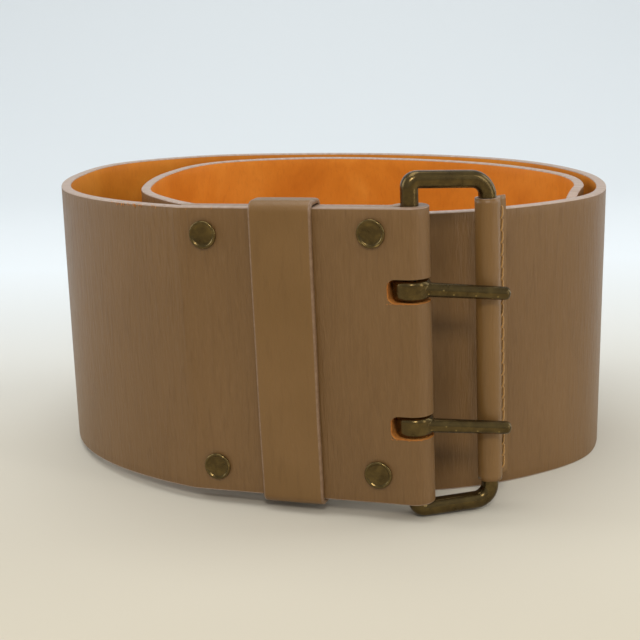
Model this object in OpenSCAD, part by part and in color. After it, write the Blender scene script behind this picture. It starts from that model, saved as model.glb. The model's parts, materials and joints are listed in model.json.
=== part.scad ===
// Wide leather waist belt, standing on its edge and coiled into a spiral of two turns.
// Its two-prong buckle hangs on a fold in the strap, and a keeper loop slides beside it.
// Units are millimetres. The floor is z = 0 and -Y is the front.

/* [Strap] */
// Width of the strap, which is the height that it stands
strap_w = 100; // [80:1:110]
// Thickness of the brown face leather
face_t = 1.4; // [1:0.1:2]
// Thickness of the tan lining leather
lining_t = 2.2; // [1.5:0.1:3]
// Length of the straight stretch behind the buckle
head_len = 78; // [70:1:84]
// Length of the end that is folded round the buckle bar and riveted down
flap_len = 78; // [76:1:80]
// Radius of the rounded corners at the tip
tip_r = 20; // [5:1:40]
// Slope of the strap where the buckle lifts it off the floor, in degrees
rise = 1.3; // [1:0.1:2]

/* [Coil] */
// Direction of the straight stretch, seen from above, in degrees
head_turn = -18; // [-19:0.5:-17]
// Sections between two neighbouring points of the coil
coil_steps = 8; // [4:1:10]

/* [Buckle] */
// Diameter of the frame's wire
wire_d = 5.8; // [5:0.1:5.8]
// Clear height inside the frame
frame_h = 105.2; // [104:0.2:110]
// Distance between the pivot bar and the outer bar
frame_w = 26.6; // [22:0.2:34]
// Bend radius of the wire beside the pivot bar
inner_bend = 3; // [3:0.1:6]
// Bend radius of the wire beside the outer bar
outer_bend = 5.4; // [3:0.1:8]
// Angle of the frame to the straight stretch, in degrees
frame_turn = 33; // [20:1:36]

/* [Prongs] */
// Distance between the two prongs
prong_gap = 46; // [36:1:60]
// Diameter of a prong at its root
prong_root_d = 4.5; // [3.6:0.1:5]
// Diameter of a prong at its tip
prong_tip_d = 4.2; // [3:0.1:4.4]
// Height of the prong's eye
eye_h = 6.6; // [5:0.1:7]
// Outer diameter of the prong's eye
eye_d = 12.6; // [9:0.1:13]
// Angle by which a prong points down, in degrees
prong_droop = 7; // [0:0.5:8]

/* [Sleeve] */
// Outer diameter of the leather sleeve on the outer bar
sleeve_d = 8.2; // [6.8:0.1:8.4]
// Length of the sleeve
sleeve_len = 96.6; // [80:0.2:98]
// Distance between two stitches
stitch_pitch = 4.1; // [4:0.1:7]

/* [Keeper] */
// Width of the keeper loop along the strap
keeper_w = 21.5; // [15:0.5:26]
// Thickness of the keeper's leather
keeper_t = 1.9; // [1.4:0.1:2.2]
// Distance from the pivot bar to the middle of the keeper
keeper_x = 41.3; // [34:0.1:46]

/* [Rivets] */
// Diameter of a rivet's cap
cap_d = 9.5; // [7:0.1:10]
// Thickness of the front cap
cap_t = 1.3; // [1:0.1:2]
// Diameter of the smaller cap at the back
back_cap_d = 7; // [6:0.1:7]
// Distance from the strap's edge to a rivet
rivet_inset = 9.2; // [8:0.1:12]
// Distance from the pivot bar to the near pair of rivets
near_rivets = 11.2; // [11.2:0.1:14]
// Distance from the pivot bar to the far pair of rivets
far_rivets = 69; // [66:0.5:72]
// Height of the near pair above the far pair
near_rise = 1.2; // [0:0.1:2]

/* [Hidden] */
$fn = 48;
strap_t = face_t + lining_t;
wire_r = wire_d / 2;
pin_fit = 0.08;
bore_r = wire_r + pin_fit;

// The bar presses this far into the lining
bar_bite = 0.25;
seat_r = bore_r - bar_bite;
lap_gap = 0.12;
cut = 1;

// Depths below the outer surface of the strap
face_depth = [0, face_t];
lining_depth = [face_t, strap_t];

// The pivot bar's foot in plan, and the directions of the straight stretch.
// The shift puts the middle of the whole belt on the origin.
to_middle = [-1.71, -5.11];
bar_xy = [27.85, -85.69] + to_middle;
edge_gap = 0.5;
floor_gap = 0.04;
head_z = (wire_d + edge_gap) * cos(rise) - inner_bend * sin(rise) + floor_gap;
along = [cos(head_turn) * cos(rise), sin(head_turn) * cos(rise), sin(rise)];
inward = [-sin(head_turn), cos(head_turn), 0];
upward = cross(along, inward);

// Outer surface of the strap: the two flat layers of the straight stretch
front_y = -(seat_r + strap_t);
flap_y = -seat_r + lap_gap + strap_t;

// The outer surface of the coil seen from above, from the straight stretch to the tip.
// The strap bends smoothly through these points.
head_end = [
    bar_xy[0] - along[0] * head_len + inward[0] * front_y,
    bar_xy[1] - along[1] * head_len + inward[1] * front_y
];
head_back = head_end + [along[0], along[1]] * 38;
first_turn = [
    [-82, -40], [-100, -7.5], [-103, 33], [-91, 73], [-54, 98], [-9.5, 102], [35, 95],
    [72, 77], [95, 52], [106.5, 17.5], [103.5, -18], [89, -41], [54.5, -59.5], [19, -64]
];
second_turn = [
    [-15, -56.5], [-41.5, -43], [-60.5, -22], [-72, 6], [-68, 48.5], [-49.5, 81], [-7, 90.5],
    [37, 79], [73, 56], [95.5, 23.5], [97.5, -7.5], [86, -33], [78, -52]
];
knots = concat(
    [head_back, head_end],
    [for (p = concat(first_turn, second_turn)) p + to_middle]
);

function spline(a, b, c, d, t) =
    0.5 * (2 * b + (c - a) * t + (2 * a - 5 * b + 4 * c - d) * t * t
    + (3 * b - a - 3 * c + d) * t * t * t);

coil = [
    for (i = [1 : len(knots) - 3], k = [0 : coil_steps - 1])
        spline(knots[i - 1], knots[i], knots[i + 1], knots[i + 2], k / coil_steps)
];
coil_n = len(coil);

// Length of the coil up to each of its sections
run = [
    for (i = 0, s = 0; i < coil_n; i = i + 1, s = s + norm(coil[min(i, coil_n - 1)] - coil[i - 1]))
        s
];
coil_len = run[coil_n - 1];

// The strap sinks from the buckle to the floor along a parabola
head_end_z = head_z - head_len * sin(rise);
sink_len = 2 * head_end_z / tan(rise);
function lift(s) = s < sink_len ? tan(rise) * pow(sink_len - s, 2) / (2 * sink_len) : 0;
function slope(s) = s < sink_len ? rise * (1 - s / sink_len) : 0;

// Cut away at the top and bottom edges by the rounded corners of the tip
function tip_cut(left) = left < tip_r ? tip_r - sqrt(pow(tip_r, 2) - pow(tip_r - left, 2)) : 0;

// A section holds a point on the outer surface at the strap's bottom edge, the outward
// direction, the direction up the strap, and the two edges measured that way.
function head_section(x, y, nx, ny) = [
    [bar_xy[0], bar_xy[1], head_z] + along * x + inward * y,
    along * nx + inward * ny,
    upward,
    0,
    strap_w
];
function coil_section(p, t, s) = [
    [p[0], p[1], lift(s)],
    [t[1], -t[0], 0],
    [-t[0] * sin(slope(s)), -t[1] * sin(slope(s)), cos(slope(s))],
    tip_cut(coil_len - s),
    strap_w - tip_cut(coil_len - s)
];

// The folded end: the flat flap, a small bend, a straight slant, then the fold round the bar
wrap = 62;
small_bend = 0.8;
fold_r = seat_r + strap_t;
slant_len = (fold_r * cos(wrap) - flap_y - small_bend * (1 - cos(wrap))) / sin(wrap);
flat_end = -(fold_r + small_bend) * sin(wrap) - slant_len * cos(wrap);
flap_sections = [
    head_section(-flap_len, flap_y, 0, 1),
    for (a = [0 : wrap / 4 : wrap])
        head_section(
            flat_end + small_bend * sin(a),
            flap_y + small_bend * (1 - cos(a)),
            -sin(a),
            cos(a)
        )
];
fold_n = 16;
fold_sections = [
    for (k = [0 : fold_n])
        let (a = 90 + wrap - k * (180 + wrap) / fold_n)
        head_section(fold_r * cos(a), fold_r * sin(a), cos(a), sin(a))
];
coil_sections = [
    for (i = [1 : coil_n - 1])
        let (
            after = coil[min(i + 1, coil_n - 1)],
            t = (after - coil[i - 1]) / norm(after - coil[i - 1])
        )
        if (run[i] < coil_len - tip_r)
            coil_section(coil[i], -t, run[i])
];

// The last stretch is divided finely, so that its corners come out round
tip_n = 10;
tip_start = [for (i = [0 : coil_n - 1]) if (run[i] >= coil_len - tip_r) i][0];
function along_coil(s, i) = run[i + 1] >= s || i + 2 > coil_n - 1
    ? coil[i] + (coil[i + 1] - coil[i]) * (s - run[i]) / (run[i + 1] - run[i])
    : along_coil(s, i + 1);
tip_sections = [
    for (k = [0 : tip_n])
        let (
            s = coil_len - tip_r * (1 - sin(90 * k / tip_n)),
            p = along_coil(s, tip_start - 1),
            before = along_coil(s - 2, tip_start - 3),
            t = (p - before) / norm(p - before)
        )
        coil_section(p, -t, s)
];
sections = concat(
    flap_sections,
    fold_sections,
    [head_section(-head_len, front_y, 0, -1)],
    coil_sections,
    tip_sections
);

// The row of holes at the tip, and how far the first pair is from the end
hole_d = 5;
hole_pairs = 5;
hole_pitch = 25;
first_hole = 60;

// Slots in the fold that let the prongs turn, with rounded corners at the closed end
slot_h = 8;
slot_end = 7.6;
slot_reach = 10;
slot_corner = 1.8;

mid_z = strap_w / 2;
prong_z = [mid_z - prong_gap / 2, mid_z + prong_gap / 2];

post_r = 1.6;
post_fit = 0.05;
near_z = [rivet_inset + near_rise, strap_w - rivet_inset + near_rise];
far_z = [rivet_inset, strap_w - rivet_inset];
posts = concat([for (z = near_z) [near_rivets, z]], [for (z = far_z) [far_rivets, z]]);
back_cap_t = 1;
socket_r = 0.9;

frame_bottom = -edge_gap - wire_r;
frame_top = frame_bottom + frame_h + wire_d;
frame_mid = (frame_bottom + frame_top) / 2;

keeper_gap = 0.4;
keeper_corner = 3;
slit = 0.3;
staple_d = 1;
staple_w = 9;

sleeve_fit = 0.06;
lip_len = 3;
lip_t = 0.75;
lip_turn = 15;
thread = 0.7;
stitch_r = 1.6;
stitch_set = 0.9;
stitch_hole_d = 1.3;
stitches = floor((sleeve_len - stitch_pitch) / stitch_pitch) + 1;

brown = [0.49, 0.39, 0.28];
tan_leather = [0.78, 0.45, 0.16];
dark_leather = [0.42, 0.33, 0.25];
old_brass = [0.47, 0.41, 0.26];
mustard = [0.8, 0.62, 0.2];

// ---------- Placing ----------

// The straight stretch's own frame: X towards the buckle, Y into the coil, Z up the strap,
// with the pivot bar on the Z axis
module in_head() {
    translate([bar_xy[0], bar_xy[1], head_z])
        rotate([0, 0, head_turn])
            rotate([0, -rise, 0])
                children();
}

// The buckle's own frame, with the outer bar along +X
module in_buckle() {
    in_head()
        rotate([0, 0, frame_turn])
            children();
}

// ---------- Strap ----------

function corners(sec, depth) = [
    sec[0] - sec[1] * depth[0] + sec[2] * sec[3],
    sec[0] - sec[1] * depth[0] + sec[2] * sec[4],
    sec[0] - sec[1] * depth[1] + sec[2] * sec[4],
    sec[0] - sec[1] * depth[1] + sec[2] * sec[3]
];

module strap_layer(depth) {
    n = len(sections);
    points = [for (sec = sections) each corners(sec, depth)];
    sides = [
        for (i = [0 : n - 2], k = [0 : 3])
            let (a = 4 * i + k, b = 4 * i + (k + 1) % 4)
            each [[a, b, b + 4], [a, b + 4, a + 4]]
    ];
    last = 4 * (n - 1);
    ends = [[2, 1, 0], [3, 2, 0], [last, last + 1, last + 2], [last, last + 2, last + 3]];
    polyhedron(points = points, faces = concat(sides, ends));
}

module strap_cuts() {
    in_head() {
        for (z = prong_z)
            translate([-slot_end, slot_reach, z - slot_h / 2])
                rotate([90, 0, 0])
                    linear_extrude(height = 2 * slot_reach)
                        rounded_box(slot_end + 2 * slot_reach, slot_h, slot_corner);
        for (p = posts)
            translate([-p[0], front_y - cut, p[1]])
                rotate([-90, 0, 0])
                    cylinder(r = post_r + post_fit, h = flap_y - front_y + 2 * cut);
    }
    for (k = [0 : hole_pairs - 1])
        tip_holes(coil_len - first_hole - k * hole_pitch);
}

module tip_holes(s) {
    p = along_coil(s, 0);
    q = along_coil(s + 1, 0);
    heading = atan2(q[1] - p[1], q[0] - p[0]);
    for (z = prong_z)
        translate([p[0], p[1], z])
            rotate([0, 0, heading])
                rotate([90, 0, 0])
                    translate([0, 0, -cut])
                        cylinder(d = hole_d, h = strap_t + 2 * cut);
}

module strap_face() {
    color(brown)
        difference() {
            strap_layer(face_depth);
            strap_cuts();
        }
}

module strap_lining() {
    color(tan_leather)
        difference() {
            strap_layer(lining_depth);
            strap_cuts();
            in_head()
                translate([0, 0, -cut])
                    cylinder(r = bore_r, h = strap_w + 2 * cut);
        }
}

// ---------- Buckle ----------

module wire_bend(x, z, r, start) {
    translate([x, 0, z])
        rotate([90, 0, 0])
            rotate([0, 0, start])
                rotate_extrude(angle = 90)
                    translate([r, 0])
                        circle(r = wire_r);
}

module cross_wire(z) {
    translate([inner_bend, 0, z])
        rotate([0, 90, 0])
            cylinder(r = wire_r, h = frame_w - inner_bend - outer_bend);
}

module buckle_frame() {
    color(old_brass)
        in_buckle() {
            translate([0, 0, frame_bottom + inner_bend])
                cylinder(r = wire_r, h = frame_top - frame_bottom - 2 * inner_bend);
            translate([frame_w, 0, frame_bottom + outer_bend])
                cylinder(r = wire_r, h = frame_top - frame_bottom - 2 * outer_bend);
            cross_wire(frame_bottom);
            cross_wire(frame_top);
            wire_bend(inner_bend, frame_top - inner_bend, inner_bend, 90);
            wire_bend(inner_bend, frame_bottom + inner_bend, inner_bend, 180);
            wire_bend(frame_w - outer_bend, frame_bottom + outer_bend, outer_bend, 270);
            wire_bend(frame_w - outer_bend, frame_top - outer_bend, outer_bend, 0);
        }
}

// ---------- Prongs ----------

root_y = 3.3;
rest_y = (sleeve_d + prong_tip_d) / 2 + 0.15;
root_x = 3;
prong_over = 1.4;
prong_len = frame_w + sleeve_d / 2 + prong_over - root_x;
prong_lean = atan((rest_y - root_y) / (frame_w - root_x));
eye_round = 1.1;

module prong(z) {
    color(old_brass)
        in_buckle()
            translate([0, 0, z]) {
                prong_eye();
                difference() {
                    translate([root_x, -root_y, 0])
                        rotate([0, 90 + prong_droop, -prong_lean])
                            prong_rod();
                    translate([0, 0, -eye_h])
                        cylinder(r = bore_r, h = 2 * eye_h);
                }
            }
}

module prong_eye() {
    rotate_extrude()
        translate([bore_r, -eye_h / 2])
            eye_profile(eye_d / 2 - bore_r);
}

module eye_profile(depth) {
    square([depth - eye_round, eye_h]);
    translate([0, eye_round])
        square([depth, eye_h - 2 * eye_round]);
    for (y = [eye_round, eye_h - eye_round])
        translate([depth - eye_round, y])
            circle(r = eye_round);
}

module prong_rod() {
    straight = prong_len - prong_tip_d / 2;
    cylinder(d1 = prong_root_d, d2 = prong_tip_d, h = straight);
    translate([0, 0, straight])
        sphere(d = prong_tip_d);
}

module prong_upper() {
    prong(prong_z[1]);
}

module prong_lower() {
    prong(prong_z[0]);
}

// ---------- Sleeve on the outer bar ----------

module in_sleeve() {
    in_buckle()
        translate([frame_w, 0, frame_mid])
            rotate([0, 0, lip_turn])
                children();
}

lip_edge = sleeve_d / 2 + lip_len;
stitch_x = lip_edge - stitch_set;
stitch_z = [for (k = [0 : stitches - 1]) (k - (stitches - 1) / 2) * stitch_pitch];

module bar_sleeve() {
    color(dark_leather)
        in_sleeve()
            difference() {
                union() {
                    translate([0, 0, -sleeve_len / 2])
                        cylinder(d = sleeve_d, h = sleeve_len);
                    translate([0, -lip_t, -sleeve_len / 2])
                        cube([lip_edge, 2 * lip_t, sleeve_len]);
                }
                translate([0, 0, -sleeve_len / 2 - cut])
                    cylinder(r = wire_r + sleeve_fit, h = sleeve_len + 2 * cut);
                for (z = stitch_z)
                    translate([stitch_x - stitch_r + 0.12, -lip_t - cut, z])
                        rotate([-90, 0, 0])
                            cylinder(d = stitch_hole_d, h = 2 * (lip_t + cut));
            }
}

// Each stitch goes through its hole and round the edge of the lips
module sleeve_stitching() {
    color(mustard)
        in_sleeve()
            for (z = stitch_z)
                translate([stitch_x, 0, z])
                    rotate_extrude()
                        translate([stitch_r, 0])
                            circle(d = thread, $fn = 24);
}

// ---------- Keeper ----------

keeper_front = front_y - keeper_gap;
keeper_back = flap_y + keeper_gap;
keeper_in = [keeper_back - keeper_front, strap_w + 2 * keeper_gap];

module rounded_box(w, h, r) {
    translate([r, 0])
        square([w - 2 * r, h]);
    translate([0, r])
        square([w, h - 2 * r]);
    for (x = [r, w - r], y = [r, h - r])
        translate([x, y])
            circle(r = r);
}

module in_keeper() {
    in_head()
        translate([-keeper_x, 0, 0])
            children();
}

module staple_legs(d) {
    for (z = [-staple_w / 2, staple_w / 2])
        translate([0, keeper_back + 0.3, mid_z + z])
            rotate([-90, 0, 0])
                cylinder(d = d, h = keeper_t + staple_d / 2 - 0.3);
}

module keeper_loop() {
    color(dark_leather)
        in_keeper()
            difference() {
                translate([-keeper_w / 2, keeper_front, -keeper_gap])
                    rotate([90, 0, 90])
                        linear_extrude(height = keeper_w)
                            difference() {
                                translate([-keeper_t, -keeper_t])
                                    rounded_box(
                                        keeper_in[0] + 2 * keeper_t,
                                        keeper_in[1] + 2 * keeper_t,
                                        keeper_corner
                                    );
                                rounded_box(keeper_in[0], keeper_in[1], keeper_corner - keeper_t);
                            }
                translate([-keeper_w, keeper_back - cut, mid_z - slit / 2])
                    cube([2 * keeper_w, keeper_t + 2 * cut, slit]);
                staple_legs(staple_d + 0.06);
            }
}

module keeper_staple() {
    color(old_brass)
        in_keeper() {
            staple_legs(staple_d);
            translate([0, keeper_back + keeper_t + staple_d / 2, mid_z - staple_w / 2])
                cylinder(d = staple_d, h = staple_w);
            for (z = [-staple_w / 2, staple_w / 2])
                translate([0, keeper_back + keeper_t + staple_d / 2, mid_z + z])
                    sphere(d = staple_d);
        }
}

// ---------- Rivets ----------

// Front cap with a raised round rim, and the post that goes through both layers
module rivet(x, z) {
    rim = 0.6;
    color(old_brass)
        in_head()
            translate([-x, front_y - 0.02, z])
                rotate([90, 0, 0]) {
                    rotate_extrude()
                        cap_profile(cap_t, rim);
                    translate([0, 0, front_y - flap_y - back_cap_t / 2])
                        cylinder(r = socket_r, h = flap_y - front_y + back_cap_t / 2);
                    translate([0, 0, front_y - flap_y])
                        cylinder(r = post_r, h = flap_y - front_y + rim);
                }
}

module cap_profile(height, rim) {
    square([cap_d / 2 - rim, height - 0.25]);
    square([cap_d / 2, height - rim]);
    translate([cap_d / 2 - rim, height - rim])
        circle(r = rim);
}

// Back cap, pressed onto the post
module rivet_back(x, z) {
    color(old_brass)
        in_head()
            translate([-x, flap_y + 0.03, z])
                rotate([-90, 0, 0])
                    difference() {
                        rotate_extrude()
                            back_profile();
                        translate([0, 0, -cut])
                            cylinder(r = socket_r + 0.02, h = cut + back_cap_t / 2 + 0.02);
                    }
}

module back_profile() {
    edge = 0.4;
    square([back_cap_d / 2 - edge, back_cap_t]);
    square([back_cap_d / 2, back_cap_t - edge]);
    translate([back_cap_d / 2 - edge, back_cap_t - edge])
        circle(r = edge);
}

module rivet_near_lower() {
    rivet(near_rivets, near_z[0]);
}

module rivet_near_upper() {
    rivet(near_rivets, near_z[1]);
}

module rivet_far_lower() {
    rivet(far_rivets, far_z[0]);
}

module rivet_far_upper() {
    rivet(far_rivets, far_z[1]);
}

module rivet_cap_near_lower() {
    rivet_back(near_rivets, near_z[0]);
}

module rivet_cap_near_upper() {
    rivet_back(near_rivets, near_z[1]);
}

module rivet_cap_far_lower() {
    rivet_back(far_rivets, far_z[0]);
}

module rivet_cap_far_upper() {
    rivet_back(far_rivets, far_z[1]);
}

strap_face();
strap_lining();
buckle_frame();
prong_upper();
prong_lower();
bar_sleeve();
sleeve_stitching();
keeper_loop();
keeper_staple();
rivet_near_lower();
rivet_near_upper();
rivet_far_lower();
rivet_far_upper();
rivet_cap_near_lower();
rivet_cap_near_upper();
rivet_cap_far_lower();
rivet_cap_far_upper();
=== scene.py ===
import bmesh
import bpy
import json
import math
import random
from mathutils import Matrix, Vector, noise


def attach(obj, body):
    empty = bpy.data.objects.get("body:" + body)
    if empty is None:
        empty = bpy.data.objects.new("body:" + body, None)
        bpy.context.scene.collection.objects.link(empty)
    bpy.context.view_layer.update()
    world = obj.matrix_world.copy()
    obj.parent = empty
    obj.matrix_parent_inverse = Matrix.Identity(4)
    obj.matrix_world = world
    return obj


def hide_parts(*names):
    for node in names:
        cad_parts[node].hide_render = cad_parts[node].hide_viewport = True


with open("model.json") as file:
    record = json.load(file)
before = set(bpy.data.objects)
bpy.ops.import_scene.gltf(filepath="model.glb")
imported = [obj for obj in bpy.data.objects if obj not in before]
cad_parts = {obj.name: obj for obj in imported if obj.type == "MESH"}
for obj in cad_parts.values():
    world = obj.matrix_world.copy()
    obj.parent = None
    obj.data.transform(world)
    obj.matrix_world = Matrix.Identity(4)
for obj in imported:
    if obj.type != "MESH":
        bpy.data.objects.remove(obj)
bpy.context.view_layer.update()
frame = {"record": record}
MM = 0.001

# ---------- Driving sizes, in millimetres, the same as the CAD ----------
STRAP_W = 100.0
FACE_T = 1.4
LINING_T = 2.2
STRAP_T = FACE_T + LINING_T
HEAD_LEN = 78.0
FLAP_LEN = 78.0
TIP_R = 20.0
WIRE_R = 2.9
BORE_R = WIRE_R + 0.08
SEAT_R = BORE_R - 0.25
LAP_GAP = 0.12
FRAME_H = 105.2
FRAME_W = 26.6
INNER_BEND = 3.0
OUTER_BEND = 5.4
FRAME_TURN = 33.0
SLOT_H = 8.0
PRONG_Z = (27.0, 73.0)
SLEEVE_D = 8.2
SLEEVE_LEN = 96.6
KEEPER_W = 21.5
KEEPER_T = 1.9
KEEPER_X = 41.3
KEEPER_GAP = 0.4
CAP_D = 9.5
NEAR_RIVETS = 11.2
FAR_RIVETS = 69.0
RIVET_Z = (9.2, 90.8)
NEAR_RISE = 1.2
EDGE_GAP = 0.5
HOLE_D = 5.0
HOLE_PAIRS = 5
HOLE_PITCH = 25.0
FIRST_HOLE = 60.0

# ---------- Sizes that differ a little from the CAD's, for the looks ----------
# The slots end closer to the eyes, with rounder ends, as leather closes up round them
SLOT_END = 6.6
SLOT_CORNER = 2.6
# The frame's top bar sits a little higher at the pivot and falls towards the sleeve
TOP_RISE = 0.7
TOP_SLANT = 1.8
# The sleeve's back lip reaches a little further than its stitches
BACK_LIP = 3.6

# ---------- The straight stretch's frame, from the record's joints ----------
joints = {j["name"]: j for j in frame["record"]["behaviour"]["joints"]}
up = Vector(joints["frame_pivot"]["axis"]).normalized()
along = Vector(joints["keeper_slide"]["axis"]).normalized()
inward = up.cross(along).normalized()
RISE = math.asin(along.z)
bar_foot = Vector(joints["frame_pivot"]["pos_m"]) - up * (STRAP_W / 2) * MM


def head(x, y, z):
    """A point given in the straight stretch's frame, in millimetres."""
    return bar_foot + (along * x + inward * y + up * z) * MM


head_axes = Matrix((along, inward, up)).transposed().to_4x4()
HEAD = Matrix.Translation(bar_foot) @ head_axes @ Matrix.Scale(MM, 4)
BUCKLE = HEAD @ Matrix.Rotation(math.radians(FRAME_TURN), 4, "Z")
FRAME_LOW = -EDGE_GAP - WIRE_R
FRAME_TOP = FRAME_LOW + FRAME_H + 2 * WIRE_R
FRAME_MID = (FRAME_LOW + FRAME_TOP) / 2

# ---------- Camera ----------
CAMERA_PLACE = Vector((-0.0052, -0.4834, 0.1722))
CAMERA_PITCH = math.radians(14.67)
CAMERA_ROLL = math.radians(1.24)
camera_data = bpy.data.cameras.new("camera")
camera_data.sensor_width = 36.0
camera_data.lens = 70.3
camera = bpy.data.objects.new("camera", camera_data)
bpy.context.scene.collection.objects.link(camera)
camera.matrix_world = (
    Matrix.Translation(CAMERA_PLACE)
    @ Matrix.Rotation(math.radians(90) - CAMERA_PITCH, 4, "X")
    @ Matrix.Rotation(-CAMERA_ROLL, 4, "Z")
)
bpy.context.scene.camera = camera


# ---------- Node materials ----------
class Nodes:
    """A short way to write a material's nodes."""

    def __init__(self, name):
        self.material = bpy.data.materials.new(name)
        self.material.use_nodes = True
        self.tree = self.material.node_tree
        self.tree.nodes.clear()
        self.shader = self.add("ShaderNodeBsdfPrincipled")
        output = self.add("ShaderNodeOutputMaterial")
        self.join(self.shader.outputs[0], output.inputs[0])

    def add(self, kind, **settings):
        node = self.tree.nodes.new(kind)
        for key, value in settings.items():
            setattr(node, key, value)
        return node

    def join(self, source, target):
        self.tree.links.new(source, target)

    def set(self, node, **values):
        for key, value in values.items():
            socket = node.inputs[key.replace("_", " ")]
            if isinstance(value, bpy.types.NodeSocket):
                self.join(value, socket)
            else:
                socket.default_value = value

    def place(self, space="Object", scale=(1, 1, 1)):
        coords = self.add("ShaderNodeTexCoord")
        mapping = self.add("ShaderNodeMapping")
        self.join(coords.outputs[space], mapping.inputs["Vector"])
        mapping.inputs["Scale"].default_value = scale
        return mapping.outputs[0]

    def noise(self, vector, scale, detail=3.0, rough=0.55, twist=0.0):
        node = self.add("ShaderNodeTexNoise")
        self.set(node, Vector=vector, Scale=scale, Detail=detail, Roughness=rough, Distortion=twist)
        return node.outputs["Fac"]

    def cells(self, vector, scale):
        node = self.add("ShaderNodeTexVoronoi")
        self.set(node, Vector=vector, Scale=scale)
        return node.outputs["Distance"]

    def ramp(self, value, stops):
        node = self.add("ShaderNodeValToRGB")
        self.join(value, node.inputs[0])
        ramp = node.color_ramp
        while len(ramp.elements) < len(stops):
            ramp.elements.new(0.5)
        for element, (place, colour) in zip(ramp.elements, stops):
            element.position = place
            element.color = (*colour, 1.0)
        return node.outputs[0]

    def levels(self, value, low, high, out_low=0.0, out_high=1.0):
        node = self.add("ShaderNodeMapRange")
        self.join(value, node.inputs["Value"])
        node.inputs["From Min"].default_value = low
        node.inputs["From Max"].default_value = high
        node.inputs["To Min"].default_value = out_low
        node.inputs["To Max"].default_value = out_high
        return node.outputs[0]

    def mix(self, amount, first, second):
        """Goes from the first colour to the second; either can be a socket or a plain colour."""
        node = self.add("ShaderNodeMix", data_type="RGBA")
        sockets = (node.inputs[0], node.inputs[6], node.inputs[7])
        for socket, value in zip(sockets, (amount, first, second)):
            if isinstance(value, tuple):
                socket.default_value = (*value, 1.0)
            else:
                self.join(value, socket)
        return node.outputs[2]

    def bump(self, height, strength, distance, normal=None):
        node = self.add("ShaderNodeBump")
        self.set(node, Height=height, Strength=strength, Distance=distance)
        if normal is not None:
            self.join(normal, node.inputs["Normal"])
        return node.outputs[0]


# UV on the strap: U runs along it and V up it, both in metres
def face_leather():
    n = Nodes("face_leather")
    flat = n.place("UV")
    streaky = n.place("UV", (1.0, 0.1, 1.0))
    broad = n.noise(n.place("UV", (1.0, 0.4, 1.0)), 24.0, 3.0, 0.5)
    streaks = n.noise(streaky, 1500.0, 4.0, 0.6, 0.2)
    creases = n.noise(streaky, 620.0, 5.0, 0.65, 0.9)
    pores = n.cells(flat, 2600.0)
    base = n.ramp(broad, [(0.3, (0.157, 0.080, 0.024)), (0.7, (0.188, 0.099, 0.033))])
    dark = n.levels(creases, 0.5, 0.7, 0.0, 0.4)
    tone = n.mix(dark, base, (0.115, 0.055, 0.014))
    light = n.levels(streaks, 0.5, 0.75, 0.0, 0.16)
    tone = n.mix(light, tone, (0.30, 0.175, 0.075))
    fine = n.bump(streaks, 0.35, 0.0003)
    folds = n.bump(creases, 0.5, 0.0006, fine)
    grain = n.bump(pores, 0.1, 0.0001, folds)
    rough = n.levels(streaks, 0.3, 0.7, 0.36, 0.5)
    n.set(n.shader, Base_Color=tone, Roughness=rough, Normal=grain)
    n.shader.inputs["Specular IOR Level"].default_value = 0.42
    return n.material


def lining_leather():
    n = Nodes("lining_leather")
    flat = n.place("UV")
    patches = n.noise(n.place("UV", (1.0, 0.8, 1.0)), 34.0, 4.0, 0.6, 0.4)
    fibres = n.noise(n.place("UV", (1.0, 0.35, 1.0)), 800.0, 4.0, 0.65)
    pores = n.cells(flat, 1900.0)
    base = n.ramp(patches, [
        (0.25, (0.56, 0.165, 0.012)), (0.5, (0.67, 0.22, 0.018)), (0.8, (0.78, 0.30, 0.035)),
    ])
    tone = n.mix(n.levels(fibres, 0.5, 0.8, 0.0, 0.3), base, (0.42, 0.115, 0.014))
    soft = n.bump(fibres, 0.2, 0.00025)
    grain = n.bump(pores, 0.12, 0.00012, soft)
    n.set(n.shader, Base_Color=tone, Roughness=n.levels(patches, 0.3, 0.7, 0.42, 0.58), Normal=grain)
    n.shader.inputs["Specular IOR Level"].default_value = 0.2
    return n.material


def edge_paint():
    """Pale paint, browner near the buckle, with a few chips that show the leather."""
    n = Nodes("edge_paint")
    where = n.place("UV")
    blotch = n.noise(where, 420.0, 4.0, 0.6)
    chips = n.noise(where, 1500.0, 3.0, 0.7)
    wide = n.noise(where, 70.0, 2.0, 0.5)
    base = n.ramp(blotch, [(0.3, (0.32, 0.225, 0.165)), (0.7, (0.47, 0.365, 0.30))])
    split = n.add("ShaderNodeSeparateXYZ")
    n.join(where, split.inputs[0])
    near_buckle = n.levels(split.outputs[0], 0.015, 0.11, 0.7, 0.0)
    base = n.mix(near_buckle, base, (0.22, 0.13, 0.07))
    worn = n.levels(chips, 0.62, 0.68, 0.0, 1.0)
    here = n.levels(wide, 0.5, 0.62, 0.0, 1.0)
    both = n.add("ShaderNodeMath", operation="MULTIPLY")
    n.join(worn, both.inputs[0])
    n.join(here, both.inputs[1])
    tone = n.mix(both.outputs[0], base, (0.46, 0.15, 0.03))
    n.set(n.shader, Base_Color=tone, Roughness=0.45, Normal=n.bump(blotch, 0.35, 0.0003))
    return n.material


def band_edge_paint():
    """The darker paint on the keeper's edges, whose piece carries no UV."""
    n = Nodes("band_edge_paint")
    blotch = n.noise(n.place("Object"), 500.0, 4.0, 0.6)
    tone = n.ramp(blotch, [(0.3, (0.17, 0.095, 0.045)), (0.7, (0.245, 0.15, 0.085))])
    n.set(n.shader, Base_Color=tone, Roughness=0.42, Normal=n.bump(blotch, 0.3, 0.0003))
    return n.material


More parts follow.
